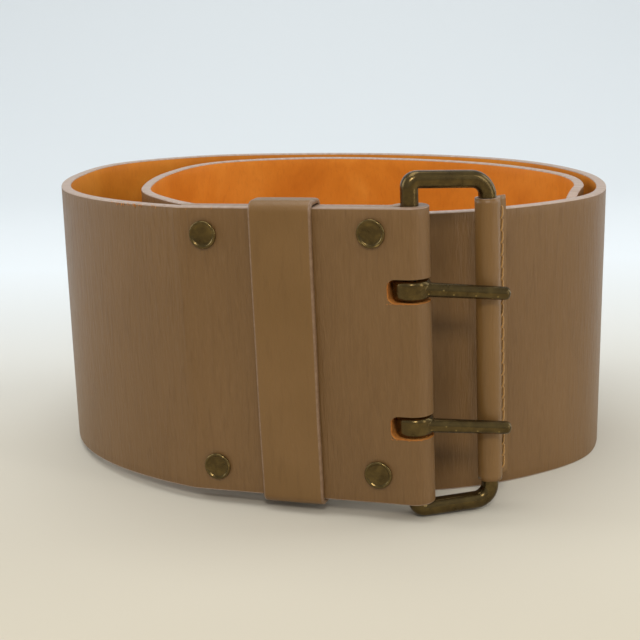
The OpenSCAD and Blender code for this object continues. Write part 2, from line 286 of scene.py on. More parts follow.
def raw_leather():
    n = Nodes("raw_cut_leather")
    where = n.place("Object")
    fuzz = n.noise(where, 2600.0, 5.0, 0.75)
    layers = n.noise(where, 700.0, 2.0, 0.5)
    tone = n.ramp(fuzz, [(0.3, (0.50, 0.17, 0.02)), (0.6, (0.74, 0.29, 0.05)), (0.8, (0.86, 0.45, 0.13))])
    tone = n.mix(n.levels(layers, 0.45, 0.7, 0.0, 0.4), tone, (0.50, 0.165, 0.02))
    n.set(n.shader, Base_Color=tone, Roughness=0.85, Normal=n.bump(fuzz, 0.8, 0.0005))
    return n.material


def band_leather():
    """The keeper's and the sleeve's leather, whose pieces carry no UV."""
    n = Nodes("band_leather")
    streaky = n.place("Object", (1.0, 1.0, 0.1))
    creases = n.noise(streaky, 520.0, 5.0, 0.6, 0.6)
    streaks = n.noise(streaky, 1300.0, 4.0, 0.6)
    broad = n.noise(n.place("Object"), 30.0, 2.0, 0.5)
    base = n.ramp(broad, [(0.3, (0.172, 0.088, 0.024)), (0.7, (0.202, 0.106, 0.033))])
    tone = n.mix(n.levels(creases, 0.54, 0.75, 0.0, 0.3), base, (0.118, 0.057, 0.015))
    fine = n.bump(streaks, 0.3, 0.0003)
    n.set(n.shader, Base_Color=tone, Roughness=0.38, Normal=n.bump(creases, 0.35, 0.0005, fine))
    n.shader.inputs["Specular IOR Level"].default_value = 0.4
    return n.material


def old_brass():
    n = Nodes("old_brass")
    where = n.place("Object")
    stain = n.noise(where, 260.0, 5.0, 0.65, 0.4)
    fine = n.noise(where, 1500.0, 4.0, 0.7)
    # Sharp ridges and edges are coloured lighter: partly brass rubbed bright by wear, partly a painted
    # highlight along them.
    geometry = n.add("ShaderNodeNewGeometry")
    ridge_wear_and_highlight = n.levels(geometry.outputs["Pointiness"], 0.52, 0.62, 0.0, 0.7)
    tone = n.ramp(stain, [
        (0.25, (0.056, 0.037, 0.013)), (0.5, (0.096, 0.065, 0.023)), (0.78, (0.165, 0.112, 0.037)),
    ])
    tone = n.mix(n.levels(fine, 0.58, 0.75, 0.0, 0.3), tone, (0.24, 0.165, 0.055))
    tone = n.mix(ridge_wear_and_highlight, tone, (0.42, 0.30, 0.11))
    dull = n.levels(stain, 0.3, 0.75, 0.3, 0.16)
    n.set(n.shader, Base_Color=tone, Metallic=0.9, Roughness=dull, Normal=n.bump(fine, 0.14, 0.0002))
    return n.material


def thread_gold():
    n = Nodes("mustard_thread")
    where = n.place("Object")
    twist = n.add("ShaderNodeTexWave", wave_type="BANDS", bands_direction="DIAGONAL")
    n.set(twist, Vector=where, Scale=900.0, Distortion=2.0, Detail=2.0)
    fluff = n.noise(where, 2500.0, 3.0, 0.6)
    tone = n.ramp(twist.outputs["Fac"], [(0.1, (0.20, 0.085, 0.012)), (0.7, (0.46, 0.24, 0.048))])
    tone = n.mix(n.levels(fluff, 0.5, 0.8, 0.0, 0.3), tone, (0.62, 0.38, 0.11))
    n.set(n.shader, Base_Color=tone, Roughness=0.7, Normal=n.bump(twist.outputs["Fac"], 0.5, 0.0003))
    n.shader.inputs["Sheen Weight"].default_value = 0.3
    return n.material


FACE = face_leather()
LINING = lining_leather()
EDGE = edge_paint()
BAND_EDGE = band_edge_paint()
RAW = raw_leather()
BAND = band_leather()
BRASS = old_brass()
THREAD = thread_gold()


# ---------- Mesh helpers ----------
def new_object(name, mesh, *materials):
    piece = bpy.data.objects.new(name, mesh)
    bpy.context.scene.collection.objects.link(piece)
    for material in materials:
        mesh.materials.append(material)
    for polygon in mesh.polygons:
        polygon.use_smooth = True
    return piece


def apply_modifiers(piece):
    """Leaves the mesh as its modifiers make it."""
    graph = bpy.context.evaluated_depsgraph_get()
    made = bpy.data.meshes.new_from_object(piece.evaluated_get(graph), depsgraph=graph)
    piece.modifiers.clear()
    piece.data = made


def finish_piece(piece, body, slot_name, *nodes):
    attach(piece, body)
    if nodes:
        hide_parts(*nodes)


def loft(rings, closed_ring=True, caps=True, closed_path=False):
    """Joins equal rings of points into quads, and gives the mesh and its vertex rows."""
    mesh = bmesh.new()
    rows = [[mesh.verts.new(point) for point in ring] for ring in rings]
    size = len(rows[0])
    pairs = list(zip(rows, rows[1:])) + ([(rows[-1], rows[0])] if closed_path else [])
    for first, second in pairs:
        for k in range(size if closed_ring else size - 1):
            j = (k + 1) % size
            mesh.faces.new((first[k], first[j], second[j], second[k]))
    if caps and not closed_path:
        mesh.faces.new(list(reversed(rows[0])))
        mesh.faces.new(rows[-1])
    return mesh, rows


def to_mesh(built, name):
    bmesh.ops.recalc_face_normals(built, faces=built.faces)
    mesh = bpy.data.meshes.new(name)
    built.to_mesh(mesh)
    built.free()
    return mesh


def lathe(profile, steps=48):
    """Turns (radius, height) points, first and last on the axis, round Z."""
    mesh = bmesh.new()
    rows = []
    for radius, height in profile:
        if radius == 0:
            rows.append([mesh.verts.new((0, 0, height))])
        else:
            rows.append([
                mesh.verts.new((
                    radius * math.cos(math.tau * k / steps),
                    radius * math.sin(math.tau * k / steps),
                    height,
                ))
                for k in range(steps)
            ])
    for first, second in zip(rows, rows[1:]):
        for k in range(steps):
            j = (k + 1) % steps
            if len(first) == 1:
                mesh.faces.new((first[0], second[j], second[k]))
            elif len(second) == 1:
                mesh.faces.new((first[k], first[j], second[0]))
            else:
                mesh.faces.new((first[k], first[j], second[j], second[k]))
    return mesh


def arc(cx, cy, radius, start, end, steps):
    return [
        (
            cx + radius * math.cos(math.radians(start + (end - start) * k / steps)),
            cy + radius * math.sin(math.radians(start + (end - start) * k / steps)),
        )
        for k in range(steps + 1)
    ]


# ---------- The strap's route ----------
# The coil's outer surface seen from above, through the same points as the CAD
TO_MIDDLE = Vector((-1.71, -5.11))
FIRST_TURN = [
    (-82, -40), (-100, -7.5), (-103, 33), (-91, 73), (-54, 98), (-9.5, 102), (35, 95),
    (72, 77), (95, 52), (106.5, 17.5), (103.5, -18), (89, -41), (54.5, -59.5), (19, -64),
]
SECOND_TURN = [
    (-15, -56.5), (-41.5, -43), (-60.5, -22), (-72, 6), (-68, 48.5), (-49.5, 81), (-7, 90.5),
    (37, 79), (73, 56), (95.5, 23.5), (97.5, -7.5), (86, -33), (78, -52),
]
FRONT_Y = -(SEAT_R + STRAP_T)
FLAP_Y = -SEAT_R + LAP_GAP + STRAP_T
head_end = head(-HEAD_LEN, FRONT_Y, 0) / MM
head_end = Vector((head_end.x, head_end.y))
# The spline's first point lies back along the head, so that the coil leaves it straight
LEAD = 38.0
head_back = head_end + Vector((along.x, along.y)) * LEAD
knots = [head_back, head_end] + [Vector(p) + TO_MIDDLE for p in FIRST_TURN + SECOND_TURN]


def spline(a, b, c, d, t):
    return 0.5 * (
        2 * b + (c - a) * t + (2 * a - 5 * b + 4 * c - d) * t * t
        + (3 * b - a - 3 * c + d) * t ** 3
    )


COIL_STEPS = 16
coil = [
    spline(knots[i - 1], knots[i], knots[i + 1], knots[i + 2], k / COIL_STEPS)
    for i in range(1, len(knots) - 2)
    for k in range(COIL_STEPS)
]
run = [0.0]
for before, after in zip(coil, coil[1:]):
    run.append(run[-1] + (after - before).length)
COIL_LEN = run[-1]
HEAD_END_Z = head(-HEAD_LEN, 0, 0).z / MM
SINK_LEN = 2 * HEAD_END_Z / math.tan(RISE)


def lift(s):
    return math.tan(RISE) * (SINK_LEN - s) ** 2 / (2 * SINK_LEN) if s < SINK_LEN else 0.0


def slope(s):
    return RISE * (1 - s / SINK_LEN) if s < SINK_LEN else 0.0


def tip_cut(left):
    return TIP_R - math.sqrt(max(0.0, TIP_R ** 2 - (TIP_R - left) ** 2)) if left < TIP_R else 0.0


class Section:
    """One cut across the strap: a point, its directions, its two edges and its place along U."""

    def __init__(self, point, out, rise, low, high, place):
        self.point, self.out, self.rise = point, out, rise
        self.low, self.high, self.place = low, high, place

    def at(self, depth, height):
        return (self.point - self.out * depth + self.rise * height) * MM


def head_section(x, y, nx, ny, place):
    return Section(head(x, y, 0) / MM, along * nx + inward * ny, up, 0.0, STRAP_W, place)


def coil_section(point, toward, s):
    lean = slope(s)
    cut = tip_cut(COIL_LEN - s)
    rise = Vector((-toward.x * math.sin(lean), -toward.y * math.sin(lean), math.cos(lean)))
    return Section(
        Vector((point.x, point.y, lift(s))),
        Vector((toward.y, -toward.x, 0.0)),
        rise, cut, STRAP_W - cut, HEAD_LEN + s,
    )


def along_coil(s):
    i = next((k for k in range(len(run) - 1) if run[k + 1] >= s), len(run) - 2)
    return coil[i] + (coil[i + 1] - coil[i]) * (s - run[i]) / (run[i + 1] - run[i])


# Past the half turn, the fold wraps this many degrees further and a small bend leads to the flap
WRAP = 62.0
SMALL_BEND = 0.8
FOLD_R = SEAT_R + STRAP_T
slant = (
    FOLD_R * math.cos(math.radians(WRAP)) - FLAP_Y - SMALL_BEND * (1 - math.cos(math.radians(WRAP)))
) / math.sin(math.radians(WRAP))
FLAT_END = (
    -(FOLD_R + SMALL_BEND) * math.sin(math.radians(WRAP)) - slant * math.cos(math.radians(WRAP))
)


def strap_sections():
    made = []
    fold_len = math.radians(180 + WRAP) * FOLD_R
    flat_n = 20
    for k in range(flat_n + 1):
        x = -FLAP_LEN + (FLAT_END + FLAP_LEN) * k / flat_n
        made.append(head_section(x, FLAP_Y, 0, 1, -fold_len - slant + x - FLAT_END))
    bend_n = 4
    for k in range(1, bend_n + 1):
        r = math.radians(WRAP * k / bend_n)
        made.append(head_section(
            FLAT_END + SMALL_BEND * math.sin(r), FLAP_Y + SMALL_BEND * (1 - math.cos(r)),
            -math.sin(r), math.cos(r), -fold_len - slant,
        ))
    fold_n = 32
    for k in range(fold_n + 1):
        r = math.radians(90 + WRAP - k * (180 + WRAP) / fold_n)
        made.append(head_section(
            FOLD_R * math.cos(r), FOLD_R * math.sin(r), math.cos(r), math.sin(r),
            -fold_len * (1 - k / fold_n),
        ))
    head_n = 26
    for k in range(1, head_n + 1):
        x = -HEAD_LEN * k / head_n
        made.append(head_section(x, FRONT_Y, 0, -1, -x))
    for i in range(1, len(coil) - 1):
        if run[i] < COIL_LEN - TIP_R:
            toward = (coil[i - 1] - coil[i + 1]).normalized()
            made.append(coil_section(coil[i], toward, run[i]))
    tip_n = 16
    for k in range(tip_n + 1):
        s = COIL_LEN - TIP_R * (1 - math.sin(math.radians(90 * k / tip_n)))
        toward = (along_coil(s - 2) - along_coil(s)).normalized()
        made.append(coil_section(along_coil(s), toward, s))
    return made


sections = strap_sections()
ACROSS = 30
EDGE_ROUND = 0.45
# The leather lies flat near the fold and is fully wavy after CALM_FROM + CALM_OVER
CALM_FROM = 6.0
CALM_OVER = 30.0
BROAD_WAVE = 0.22
SMALL_WAVE = 0.06
DENT_DEPTH = 0.28
DENT_AWAY = 3.4
DENT_LEN = 3.0
DENT_H = 5.5


def wave(place, height):
    """The slight unevenness of the leather along its outward direction, in millimetres."""
    calm = min(1.0, max(0.0, (place - CALM_FROM) / CALM_OVER))
    spot = Vector((place * 0.011, height * 0.013, 3.1))
    small = Vector((place * 0.05, height * 0.03, 7.7))
    return calm * (BROAD_WAVE * noise.noise(spot) + SMALL_WAVE * noise.noise(small))


def dimple(place, height):
    """The dents that the prongs' eyes press beside their slots."""
    depth = 0.0
    for z in PRONG_Z:
        away = ((place - SLOT_END - DENT_AWAY) / DENT_LEN) ** 2 + ((height - z) / DENT_H) ** 2
        depth += DENT_DEPTH * math.exp(-away)
    return depth


def edge_profile(top, bottom):
    """A layer's edge from its outer to its inner surface, as points of depth and inset.

    The strap's own two surfaces have rounded edges; where the layers meet the edge is flat.
    """
    points = []
    for a in (30, 60, 90):
        r = math.radians(a)
        if top == 0:
            points.append((top + EDGE_ROUND * (1 - math.cos(r)), EDGE_ROUND * (1 - math.sin(r))))
        else:
            points.append((top + (bottom - top) * 0.1 * a / 90, 0.0))
    for a in (0, 30, 60, 90):
        r = math.radians(a)
        if top > 0:
            points.append((bottom - EDGE_ROUND * (1 - math.sin(r)), EDGE_ROUND * (1 - math.cos(r))))
        else:
            points.append((bottom - (bottom - top) * 0.2 * (1 - a / 90), 0.0))
    return points


def strap_layer(name, top, bottom, outside, inside):
    """A layer of the strap between two depths, with U along it and V up it, in metres."""
    edge = edge_profile(top, bottom)
    outer_inset = EDGE_ROUND * 0.9 if top == 0 else 0.0
    inner_inset = EDGE_ROUND * 0.9 if top > 0 else 0.0
    rings = []
    spots = []
    for sec in sections:
        ring = []
        spot = []

        def put(depth, height):
            shift = wave(sec.place, height) - (dimple(sec.place, height) if sec.place > 0 else 0.0)
            ring.append(sec.at(depth - shift, height))
            spot.append((sec.place * MM, height * MM))

        width = sec.high - sec.low
        for k in range(ACROSS + 1):
            put(top, sec.low + outer_inset + (width - 2 * outer_inset) * k / ACROSS)
        for depth, inset in edge:
            put(depth, sec.high - inset)
        for k in range(1, ACROSS):
            put(bottom, sec.high - inner_inset - (width - 2 * inner_inset) * k / ACROSS)
        for depth, inset in reversed(edge):
            put(depth, sec.low + inset)
        rings.append(ring)
        spots.append(spot)
    built, rows = loft(rings)
    uv = built.loops.layers.uv.new("strap")
    place_of = {v: spots[i][k] for i, row in enumerate(rows) for k, v in enumerate(row)}
    column_of = {v: k for row in rows for k, v in enumerate(row)}
    last = len(rings[0]) - 1
    inner_first = ACROSS + len(edge)
    for face in built.faces:
        for loop in face.loops:
            loop[uv].uv = place_of[loop.vert]
        columns = [column_of[v] for v in face.verts]
        if len(columns) > 4:
            face.material_index = 2
        elif max(columns) <= ACROSS and not (0 in columns and last in columns):
            face.material_index = 0
        elif min(columns) >= inner_first and max(columns) <= inner_first + ACROSS:
            face.material_index = 1
        else:
            face.material_index = 2
    return new_object(name, to_mesh(built, name), outside, inside, EDGE, RAW)


def slot_cutter():
    """Solids that cut the two prong slots and the pairs of holes at the tip."""
    built = bmesh.new()

    def prism(outline, matrix, y0, y1):
        low = [built.verts.new(matrix @ Vector((x, y0, z))) for x, z in outline]
        high = [built.verts.new(matrix @ Vector((x, y1, z))) for x, z in outline]
        count = len(outline)
        for k in range(count):
            j = (k + 1) % count
            built.faces.new((low[k], low[j], high[j], high[k]))
        built.faces.new(low)
        built.faces.new(list(reversed(high)))

    half = SLOT_H / 2
    past_fold = 12.0
    past_head = 10.0
    for z in PRONG_Z:
        outline = [(past_fold, z - half), (past_fold, z + half)]
        outline += arc(-SLOT_END + SLOT_CORNER, z + half - SLOT_CORNER, SLOT_CORNER, 90, 180, 6)
        outline += arc(-SLOT_END + SLOT_CORNER, z - half + SLOT_CORNER, SLOT_CORNER, 180, 270, 6)
        prism(outline, HEAD, -past_head, past_head)
    past_strap = 1.2
    sides = 24
    for k in range(HOLE_PAIRS):
        s = COIL_LEN - FIRST_HOLE - HOLE_PITCH * k
        spot = along_coil(s)
        heading = along_coil(s + 1) - spot
        turn = Matrix.Rotation(math.atan2(heading.y, heading.x), 4, "Z")
        for z in PRONG_Z:
            place = Matrix.Scale(MM, 4) @ Matrix.Translation((spot.x, spot.y, z)) @ turn
            outline = arc(0.0, 0.0, HOLE_D / 2, 0, 360 - 360 / sides, sides - 1)
            prism(outline, place, -STRAP_T - past_strap, past_strap)
    return new_object("cutter", to_mesh(built, "cutter"), RAW)


def cut_strap():
    cutter = slot_cutter()
    face = strap_layer("strap_face_leather", 0.0, FACE_T, FACE, RAW)
    lining = strap_layer("strap_lining_leather", FACE_T, STRAP_T, RAW, LINING)
    for layer in (face, lining):
        boolean = layer.modifiers.new("slots", "BOOLEAN")
        boolean.operation = "DIFFERENCE"
        boolean.solver = "EXACT"
        boolean.material_mode = "TRANSFER"
        boolean.object = cutter
        apply_modifiers(layer)
        for polygon in layer.data.polygons:
            polygon.use_smooth = True
        layer.data.set_sharp_from_angle(angle=math.radians(35))
    bpy.data.objects.remove(cutter)
    finish_piece(face, "strap", "face_leather", "strap_face")
    finish_piece(lining, "strap", "lining_leather", "strap_lining")


cut_strap()


FIBRE_R = 0.075
SLOT_FIBRES = 190
END_FIBRES = 70
# Frayed stretches of the top edge: their place along the strap, their spread and their count
FRAYED = ((104.0, 3.5, 26), (96.0, 1.0, 16), (78.0, 8.0, 10))


def fibres():
    """Loose ends of leather round the cut slots, and frayed flecks on the top edge."""
    draw = random.Random(11)
    curve = bpy.data.curves.new("cut_fibres", "CURVE")
    curve.dimensions = "3D"
    curve.bevel_depth = FIBRE_R * MM
    curve.bevel_resolution = 1

    def fibre(root, lean):
        middle = root + lean * 0.5 + Vector([draw.uniform(-0.15, 0.15) for _ in range(3)]) * MM
        strand = curve.splines.new("POLY")
        strand.points.add(2)
        for point, place, width in zip(strand.points, (root, middle, root + lean), (1.0, 0.8, 0.3)):
            point.co = (*place, 1.0)
            point.radius = width

    half = SLOT_H / 2
    for z in PRONG_Z:
        for _ in range(SLOT_FIBRES):
            t = draw.random()
            x = -SLOT_END + (SLOT_END + 3.5) * t
            front = FRONT_Y if x < 0 else -math.sqrt(FOLD_R ** 2 - x * x)
            deep = draw.uniform(0.1, 1.5)
            below = z - half - 0.02
            lean = Vector((draw.gauss(0, 0.25), -draw.uniform(0.05, 0.45), draw.uniform(-0.25, 0.45)))
            fibre(head(x, front + deep * 0.5, below), (along * lean.x + inward * lean.y + up * lean.z) * MM)
        for _ in range(END_FIBRES):
            height = z + draw.uniform(-half, half * 0.7)
            lean = Vector((draw.uniform(0.05, 0.5), -draw.uniform(0.0, 0.3), draw.gauss(0, 0.2)))
            root = head(-SLOT_END - 0.05, FRONT_Y + draw.uniform(0.1, 1.2), height)
            fibre(root, (along * lean.x + inward * lean.y + up * lean.z) * MM)
    for centre, spread, count in FRAYED:
        for _ in range(count):
            place = draw.gauss(centre, spread)
            sec = min(sections, key=lambda q: abs(q.place - place))
            root = Vector(sec.at(0.15, sec.high - draw.uniform(0.0, 0.5)))
            lean = sec.out * draw.uniform(0.15, 0.4) - sec.rise * draw.uniform(0.1, 1.1)
            fibre(root + along * draw.uniform(-1.2, 1.2) * MM, lean * MM)
    piece = bpy.data.objects.new("cut_fibres", curve)
    bpy.context.scene.collection.objects.link(piece)
    curve.materials.append(RAW)
    finish_piece(piece, "strap", "lining_leather")


fibres()


# ---------- Buckle frame ----------
def tube(path, radius_at, sides=28, closed=False, squareness=2.0, twist=0.0):
    """A tube along a path of points, with a round or rounded-square section.

    The twist moves the section's points round it and leaves its shape alone.
    """
    count = len(path)
    rings = []
    normal = None
    for i, point in enumerate(path):
        ahead = path[(i + 1) % count] if closed or i < count - 1 else path[i]
        behind = path[i - 1] if closed or i > 0 else path[i]
        direction = (ahead - behind).normalized()
        if normal is None:
            normal = direction.cross(Vector((0, 1, 0.02))).normalized()
        normal = (normal - direction * normal.dot(direction)).normalized()
        side = direction.cross(normal)
        radius = radius_at(i / (count if closed else count - 1))
        ring = []
        for k in range(sides):
            a = math.tau * k / sides + twist
            c, s = math.cos(a), math.sin(a)
            power = 2.0 / squareness
            x = math.copysign(abs(c) ** power, c)
            y = math.copysign(abs(s) ** power, s)
            ring.append(point + (normal * x + side * y) * radius)
        rings.append(ring)
    return loft(rings, caps=not closed, closed_path=closed)[0]


def frame_path():
    """The wire's centre line as a closed loop, from the corner above the pivot."""
    points = []
    straight_n = 20
    corner_n = 12
    # The lengths over which the two side bars' points are spaced; the outer one is 1 mm short of its bar
    outer_span = FRAME_H - 6.0
    pivot_span = FRAME_H - 0.2
    right = FRAME_W - OUTER_BEND

    def bend(cx, cz, r, a0, a1):
        for x, z in arc(cx, cz, r, a0, a1, corner_n):
            points.append(Vector((x, 0.0, z)))

    bend(INNER_BEND, FRAME_TOP - INNER_BEND, INNER_BEND, 180, 90)
    bend(right, FRAME_TOP - OUTER_BEND, OUTER_BEND, 90, 0)
    for k in range(1, straight_n):
        points.append(Vector((FRAME_W, 0.0, FRAME_TOP - OUTER_BEND - k * outer_span / straight_n)))
    bend(right, FRAME_LOW + OUTER_BEND, OUTER_BEND, 0, -90)
    bend(INNER_BEND, FRAME_LOW + INNER_BEND, INNER_BEND, 270, 180)
    for k in range(1, straight_n):
        points.append(Vector((0.0, 0.0, FRAME_LOW + INNER_BEND + k * pivot_span / straight_n)))
    return points


# The top bar's rise and slant start this far below it and are complete after TOP_OVER
TOP_FROM = 8.0
TOP_OVER = 5.0
# The wire's section is slightly square, and its surface is slightly uneven
SQUARENESS = 2.25
WIRE_UNEVEN = 0.05
UNEVEN_SCALE = 0.22


def buckle_frame():
    twist = math.radians(45)
    built = tube(frame_path(), lambda t: WIRE_R, closed=True, squareness=SQUARENESS, twist=twist)
    for v in built.verts:
        v.co += v.co.normalized() * WIRE_UNEVEN * noise.noise(v.co * UNEVEN_SCALE)
        near_top = min(1.0, max(0.0, (v.co.z - FRAME_TOP + TOP_FROM) / TOP_OVER))
        v.co.z += near_top * (TOP_RISE - TOP_SLANT * v.co.x / FRAME_W)
    built.transform(BUCKLE)
    piece = new_object("buckle_frame_metal", to_mesh(built, "buckle_frame_metal"), BRASS)
    smooth = piece.modifiers.new("smooth", "SUBSURF")
    smooth.levels = smooth.render_levels = 1
    finish_piece(piece, "frame", "old_brass", "buckle_frame")


buckle_frame()

# ---------- Prongs ----------
EYE_H = 6.6
EYE_R = 6.3
EYE_ROUND = 1.5
BORE_ROUND = 0.5
ROD_R = 2.42
ROD_TAPER = 0.22
TIP_D = 4.2
NOSE = 1.9
NOSE_R = 0.25
PAST_SLEEVE = 1.4
REST_GAP = 0.15
ROOT = Vector((3.0, -3.3, 0.0))
REST_Y = (SLEEVE_D + TIP_D) / 2 + REST_GAP
PRONG_LEN = FRAME_W + SLEEVE_D / 2 + PAST_SLEEVE - ROOT.x
LEAN = math.atan((REST_Y + ROOT.y) / (FRAME_W - ROOT.x))
DROOP = math.radians(7.0)


def prong_rod():
    """The rod, which starts a little way inside the eye and ends in a round nose."""
    inside_n = 2
    steps = 40
    direction = Vector((
        math.cos(DROOP) * math.cos(LEAN), -math.cos(DROOP) * math.sin(LEAN), -math.sin(DROOP),
    ))
    path = [ROOT + direction * PRONG_LEN * k / steps for k in range(-inside_n, steps + 1)]
    whole = (steps + inside_n) / steps

    def radius(t):
        rod_r = ROD_R - ROD_TAPER * (t * whole - inside_n / steps)
        left = (1 - t) * PRONG_LEN * whole
        if left < NOSE:
            return max(NOSE_R, rod_r * math.sqrt(max(0.0, 1 - ((NOSE - left) / NOSE) ** 2)))
        return rod_r

    return tube(path, radius)


def prong_eye():
    """The ring round the bar, turned from its section."""
    half = EYE_H / 2
    profile = [(BORE_R, -half + BORE_ROUND), (BORE_R + BORE_ROUND, -half)]
    profile += arc(EYE_R - EYE_ROUND, -half + EYE_ROUND, EYE_ROUND, -90, 0, 6)
    profile += arc(EYE_R - EYE_ROUND, half - EYE_ROUND, EYE_ROUND, 0, 90, 6)
    profile += [(BORE_R + BORE_ROUND, half), (BORE_R, half - BORE_ROUND)]
    steps = 64
    rings = []
    for k in range(steps):
        a = math.tau * k / steps
        rings.append([(r * math.cos(a), r * math.sin(a), h) for r, h in profile])
    return loft(rings, closed_path=True)[0]


def prong(name, z, body, node):
    """The eye and the rod are joined by a remesh, so that the neck flows into the rod."""
    built = prong_rod()
    eye = to_mesh(prong_eye(), name)
    built.from_mesh(eye)
    piece = new_object(name, to_mesh(built, name), BRASS)
    remesh = piece.modifiers.new("join", "REMESH")
    remesh.mode = "VOXEL"
    remesh.voxel_size = 0.22
    soften = piece.modifiers.new("soften", "SMOOTH")
    soften.factor = 0.5
    soften.iterations = 6
    apply_modifiers(piece)
    for v in piece.data.vertices:
        flat = math.hypot(v.co.x, v.co.y)
        if flat < BORE_R and abs(v.co.z) < EYE_H / 2:
            v.co.x *= BORE_R / flat
            v.co.y *= BORE_R / flat
    piece.data.transform(BUCKLE @ Matrix.Translation((0, 0, z)))
    for polygon in piece.data.polygons:
        polygon.use_smooth = True
    finish_piece(piece, body, "old_brass", node)


prong("prong_upper_metal", PRONG_Z[1], "upper_prong", "prong_upper")
prong("prong_lower_metal", PRONG_Z[0], "lower_prong", "prong_lower")

# ---------- Sleeve and its stitches ----------
LIP_TURN = 15.0
LIP_T = 0.75
FRONT_LIP = 0.7
SLEEVE_R = SLEEVE_D / 2
SLEEVE_IN = WIRE_R + 0.06
SLEEVE_END_SHRINK = 0.006
LIP_SWAY = 0.16
SLEEVE = (
    BUCKLE
    @ Matrix.Translation((FRAME_W, 0, FRAME_MID))
    @ Matrix.Rotation(math.radians(LIP_TURN), 4, "Z")
)
THREAD_R = 0.36
STITCH_PITCH = 4.1


def sleeve_outline():
    """The sleeve's cut across the bar: round the bar, with a short front lip and a longer back one."""
    start = math.degrees(math.asin(LIP_T / SLEEVE_R)) + 14
    inside = math.degrees(math.asin(0.08 / SLEEVE_IN))
    outer = arc(0, 0, SLEEVE_R, start, 360 - start, 44)
    inner = arc(0, 0, SLEEVE_IN, 360 - inside - 12, inside + 12, 36)
    back = SLEEVE_R + BACK_LIP
    front = SLEEVE_R + FRONT_LIP
    back_lip = [
        (back, 0.1), (back + 0.12, 0.42), (back, 0.78), (SLEEVE_R + 1.2, 0.86), (SLEEVE_R + 0.3, 1.05),
    ]
    front_lip = [(SLEEVE_R + 0.3, -1.05), (front, -0.85), (front + 0.12, -0.45), (front, -0.1)]
    return back_lip + outer + front_lip + inner


def sleeve():
    outline = sleeve_outline()
    rings = []
    count = 60
    for i in range(count + 1):
        z = SLEEVE_LEN * (i / count - 0.5)
        size = 1 - SLEEVE_END_SHRINK if i in (0, count) else 1.0
        ring = []
        for x, y in outline:
            outside = max(0.0, math.hypot(x, y) - SLEEVE_R)
            sway = LIP_SWAY * noise.noise(Vector((z * 0.09, 0, 0))) * outside
            ring.append(Vector((x * size + sway, y * size, z)))
        rings.append(ring)
    built, _ = loft(rings)
    built.transform(SLEEVE)
    piece = new_object("bar_sleeve_leather", to_mesh(built, "bar_sleeve_leather"), BAND, EDGE)
    back_edge = SLEEVE_R + BACK_LIP - 0.3
    front_edge = SLEEVE_R + FRONT_LIP - 0.05
    to_bar = SLEEVE.inverted()
    for polygon in piece.data.polygons:
        spot = to_bar @ polygon.center
        end_face = len(polygon.vertices) > 4
        if end_face or spot.x > back_edge or (spot.y < 0 and spot.x > front_edge):
            polygon.material_index = 1
    finish_piece(piece, "frame", "face_leather", "bar_sleeve")


def stitches():
    """Slanted turns of thread that cross from the front lip onto the back lip."""
    draw = random.Random(7)
    count = int((SLEEVE_LEN - STITCH_PITCH) / STITCH_PITCH)
    curve = bpy.data.curves.new("sleeve_thread", "CURVE")
    curve.dimensions = "3D"
    curve.bevel_depth = THREAD_R * MM
    curve.bevel_resolution = 4
    edge = SLEEVE_R + FRONT_LIP
    for k in range(count):
        z = (k - (count - 1) / 2) * STITCH_PITCH
        jog = draw.uniform(-0.12, 0.12)
        points = [
            (edge - 0.75, -0.7, z - 2.3), (edge - 0.5, -1.25, z - 1.9), (edge + 0.1, -1.3 + jog, z - 1.0),
            (edge + 0.65, -0.75 + jog, z + 0.2), (edge + 0.95, -0.42, z + 1.1), (edge + 1.0, -0.1, z + 1.6),
            (edge + 0.95, 0.3, z + 1.7),
        ]
        thread = curve.splines.new("BEZIER")
        thread.bezier_points.add(len(points) - 1)
        for spot, point in zip(thread.bezier_points, points):
            spot.co = SLEEVE @ Vector(point)
            spot.handle_left_type = "AUTO"
            spot.handle_right_type = "AUTO"
    piece = bpy.data.objects.new("sleeve_thread", curve)
    bpy.context.scene.collection.objects.link(piece)
    curve.materials.append(THREAD)
    finish_piece(piece, "frame", "thread", "sleeve_stitching")


sleeve()
stitches()


# ---------- Keeper ----------
KEEPER_CORNER = 1.6
KEEPER_BOW = 0.35
BOW_SPAN = 104.0
KEEPER_SKEW = 0.25
STAPLE_W = 9.0
STAPLE_R = 0.5
STAPLE_DEEP = 1.4
STAPLE_OUT = 0.2


def keeper_path(offset):
    """The loop's cut at this distance outside its inner surface, as (y, z) points."""
    front = FRONT_Y - KEEPER_GAP + KEEPER_CORNER
    back = FLAP_Y + KEEPER_GAP - KEEPER_CORNER
    low = -KEEPER_GAP + KEEPER_CORNER
    high = STRAP_W + KEEPER_GAP - KEEPER_CORNER
    r = KEEPER_CORNER + offset
    back_n = 12
    front_n = 40
    points = arc(back, high, r, 90, 0, 8)
    points += [(back + r, high - k * (high - low) / back_n) for k in range(1, back_n)]
    points += arc(back, low, r, 0, -90, 8)
    points += arc(front, low, r, 270, 180, 8)
    points += [(front - r, low + k * (high - low) / front_n) for k in range(1, front_n)]
    points += arc(front, high, r, 180, 90, 8)
    return points


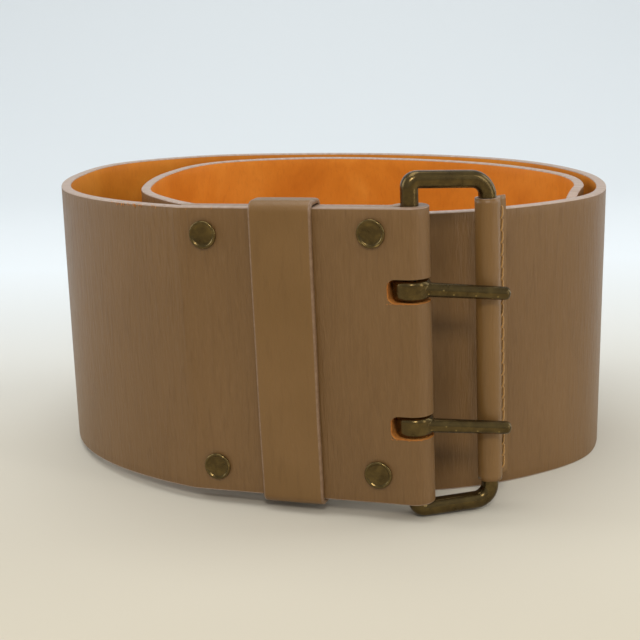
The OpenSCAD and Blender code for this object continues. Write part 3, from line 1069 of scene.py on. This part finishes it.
def keeper():
    half = KEEPER_W / 2
    rings = []
    for (y0, z0), (y1, z1) in zip(keeper_path(0.0), keeper_path(KEEPER_T)):
        middle = max(-0.5, min(0.5, (z1 - STRAP_W / 2) / BOW_SPAN))
        bow = KEEPER_BOW * math.cos(math.pi * middle) if y1 < FRONT_Y - KEEPER_GAP else 0.0
        skew = KEEPER_SKEW * noise.noise(Vector((z1 * 0.03, 1.7, 0)))

        def spot(u, x):
            y = y0 + (y1 - y0) * u - bow * (0.6 + 0.4 * u)
            return Vector((x + skew - KEEPER_X, y, z0 + (z1 - z0) * u))

        rings.append([
            spot(0.0, half - 0.3), spot(0.12, half), spot(0.5, half + 0.05), spot(0.86, half - 0.05),
            spot(1.0, half - 0.45), spot(1.02, half - 2.5),
            spot(1.03, 4.0), spot(1.03, 0.0), spot(1.03, -4.0),
            spot(1.02, -half + 2.5), spot(1.0, -half + 0.45),
            spot(0.86, -half + 0.05), spot(0.5, -half - 0.05), spot(0.12, -half), spot(0.0, -half + 0.3),
            spot(0.0, 0.0),
        ])
    built, rows = loft(rings, closed_path=True)
    column_of = {v: k for row in rows for k, v in enumerate(row)}
    for face in built.faces:
        columns = [column_of[v] for v in face.verts]
        if max(columns) <= 4 or (min(columns) >= 10 and max(columns) <= 14):
            face.material_index = 1
        elif 15 in columns and 5 not in columns:
            face.material_index = 2
    built.transform(HEAD)
    piece = new_object("keeper_band", to_mesh(built, "keeper_band"), BAND, BAND_EDGE, RAW)
    smooth = piece.modifiers.new("smooth", "SUBSURF")
    smooth.levels = smooth.render_levels = 1
    finish_piece(piece, "keeper", "face_leather", "keeper_loop")


def staple():
    """A wire across the keeper's back, bent over at both ends and pushed into the leather."""
    surface = FLAP_Y + KEEPER_GAP + KEEPER_T
    out = surface + STAPLE_OUT
    half = STAPLE_W / 2
    bend = [(out + 0.3 * math.sin(a), 0.5 * (1 - math.cos(a))) for a in (0.5, 1.0, 1.5)]
    points = [(surface - STAPLE_DEEP, -half), (out, -half)]
    points += [(y, -half + rise) for y, rise in bend]
    points += [(y, half - rise) for y, rise in reversed(bend)]
    points += [(out, half), (surface - STAPLE_DEEP, half)]
    curve = bpy.data.curves.new("keeper_staple_wire", "CURVE")
    curve.dimensions = "3D"
    curve.bevel_depth = STAPLE_R * MM
    curve.bevel_resolution = 5
    wire = curve.splines.new("POLY")
    wire.points.add(len(points) - 1)
    for spot, (y, z) in zip(wire.points, points):
        spot.co = (*(HEAD @ Vector((-KEEPER_X, y, STRAP_W / 2 + z))), 1.0)
    piece = bpy.data.objects.new("keeper_staple_wire", curve)
    bpy.context.scene.collection.objects.link(piece)
    curve.materials.append(BRASS)
    finish_piece(piece, "keeper", "old_brass", "keeper_staple")


keeper()
staple()


# ---------- Rivets ----------
CAP_RIM = 0.55
# Above this height the front caps are slightly uneven
CAP_LOW = 0.5
CAP_UNEVEN = 0.05
POST_R = 1.6
POST_TIP_R = 0.9
POST_TIP = 0.5
BACK_R = 3.5
BACK_RIM = 0.42
SOCKET_R = POST_TIP_R + 0.02


def rivet_piece(name, built, place, node):
    built.transform(place)
    piece = new_object(name, to_mesh(built, name), BRASS)
    piece.data.set_sharp_from_angle(angle=math.radians(50))
    finish_piece(piece, "strap", "old_brass", node)


def rivet(name, x, z, node):
    """A flat cap with a raised round rim, and its post."""
    r = CAP_D / 2
    post_end = FRONT_Y - FLAP_Y
    profile = [(0.0, 0.78), (r * 0.5, 0.80), (r - 1.25, 0.83), (r - 1.05, 0.88)]
    profile += arc(r - CAP_RIM, 0.75, CAP_RIM, 118, -60, 9)
    profile += [(r - 0.5, 0.0), (POST_R, 0.0), (POST_R, post_end), (POST_TIP_R, post_end)]
    profile += [(POST_TIP_R, post_end - POST_TIP), (0.0, post_end - POST_TIP)]
    built = lathe(profile)
    for v in built.verts:
        if v.co.z > CAP_LOW:
            v.co.z += CAP_UNEVEN * noise.noise(v.co * 0.5 + Vector((x, z, 0)))
    place = HEAD @ Matrix.Translation((-x, FRONT_Y - 0.02, z)) @ Matrix.Rotation(math.radians(90), 4, "X")
    rivet_piece(name, built, place, node)


def rivet_back(name, x, z, node):
    """The smaller cap behind, with a dent in its middle and a socket for the post's tip."""
    r = BACK_R
    profile = [(0.0, 0.85), (1.0, 0.86), (1.5, 0.98), (r - 0.9, 0.98)]
    profile += arc(r - BACK_RIM, 0.55, BACK_RIM, 80, -60, 8)
    profile += [(r - 0.4, 0.0), (SOCKET_R, 0.0), (SOCKET_R, POST_TIP), (0.0, POST_TIP)]
    place = HEAD @ Matrix.Translation((-x, FLAP_Y + 0.03, z)) @ Matrix.Rotation(math.radians(-90), 4, "X")
    rivet_piece(name, lathe(profile), place, node)


for side, x, raised in (("near", NEAR_RIVETS, NEAR_RISE), ("far", FAR_RIVETS, 0.0)):
    for level, z in zip(("lower", "upper"), RIVET_Z):
        rivet(f"rivet_{side}_{level}_metal", x, z + raised, f"rivet_{side}_{level}")
        rivet_back(f"rivet_back_{side}_{level}_metal", x, z + raised, f"rivet_cap_{side}_{level}")


# ---------- Floor and light ----------
def floor():
    """A sheet of paper that lies flat, curves up behind and then stands."""
    reach = 3.0
    bend_from = 0.6
    bend_r = 0.8
    height = 3.0
    drop = 0.00005
    bend = arc(bend_from, bend_r, bend_r, -90, 0, 24)
    profile = [(-reach, 0.0)] + bend + [(bend_from + bend_r, height)]
    rings = [[Vector((-reach, y, z - drop)), Vector((reach, y, z - drop))] for y, z in profile]
    built, _ = loft(rings, closed_ring=False, caps=False)
    n = Nodes("floor_paper")
    where = n.place("Object")
    split = n.add("ShaderNodeSeparateXYZ")
    n.join(where, split.inputs[0])
    # The one sheet of paper is coloured darker and warmer in front and brighter and cooler behind: painted
    # light and shade across the floor.
    away = n.levels(split.outputs[1], -0.28, 0.32)
    tone = n.ramp(away, [
        (0.0, (0.56, 0.50, 0.38)), (0.45, (0.61, 0.58, 0.50)), (1.0, (0.80, 0.845, 0.87)),
    ])
    n.set(n.shader, Base_Color=tone, Roughness=0.75)
    n.shader.inputs["Specular IOR Level"].default_value = 0.2
    piece = new_object("floor", to_mesh(built, "floor"), n.material)


def area_light(name, place, aim, size, power, colour):
    data = bpy.data.lights.new(name, "AREA")
    data.shape = "RECTANGLE"
    data.size, data.size_y = size
    data.energy = power
    data.color = colour
    lamp = bpy.data.objects.new(name, data)
    bpy.context.scene.collection.objects.link(lamp)
    lamp.location = place
    lamp.rotation_euler = (Vector(aim) - Vector(place)).to_track_quat("-Z", "Y").to_euler()


def lighting():
    world = bpy.data.worlds.new("studio")
    world.use_nodes = True
    background = world.node_tree.nodes["Background"]
    background.inputs["Color"].default_value = (0.95, 0.975, 1.0, 1.0)
    background.inputs["Strength"].default_value = 0.52
    bpy.context.scene.world = world
    bpy.context.scene.view_settings.view_transform = "Standard"
    area_light("top_soft", (-0.1, 0.05, 1.1), (0, 0, 0.05), (1.0, 0.6), 5.0, (1.0, 0.98, 0.95))
    area_light("key", (0.0, -1.0, 0.78), (0, -0.05, 0.06), (0.2, 0.2), 4.2, (1.0, 0.95, 0.88))
    area_light("left_soft", (-1.0, 0.1, 0.5), (0, 0, 0.06), (0.5, 0.8), 3.6, (0.95, 0.98, 1.0))
    area_light("right_soft", (1.0, 0.2, 0.5), (0, 0, 0.06), (0.5, 0.8), 3.4, (0.95, 0.98, 1.0))
    area_light("right_strip", (0.85, -0.6, 0.35), (0, -0.05, 0.06), (0.16, 0.8), 2.2, (1.0, 0.97, 0.92))


floor()
lighting()
